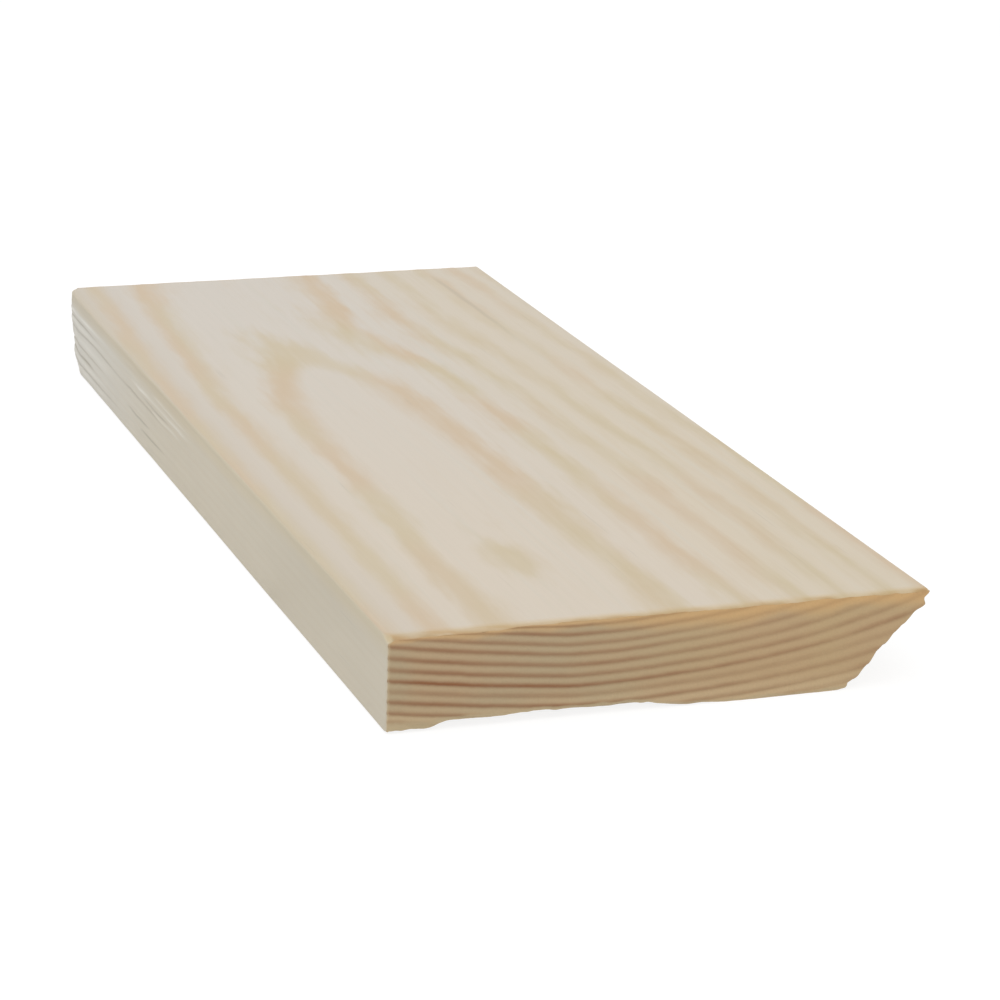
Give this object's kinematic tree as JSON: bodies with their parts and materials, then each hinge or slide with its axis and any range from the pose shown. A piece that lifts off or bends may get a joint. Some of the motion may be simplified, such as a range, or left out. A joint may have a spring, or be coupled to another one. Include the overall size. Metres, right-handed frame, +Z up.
{
  "type": "skirting board length",
  "caption": "Short length of planed softwood skirting board with a square lower edge and a 45 degree bevelled upper edge, lying back face up.",
  "frame": {"origin": "middle of the board's footprint box, at the level of the surface that the show face lies on", "axes": "+X across the board from the square edge to the bevelled edge, +Y along the board away from the end with the tear-out, +Z up through the thickness towards the back face"},
  "size_m": [0.069, 0.17, 0.012],
  "materials": {
    "planed_pine": "bare planed softwood, unsealed"
  },
  "bodies": {
    "root": {"skirting_board": "planed_pine"}
  },
  "joints": []
}
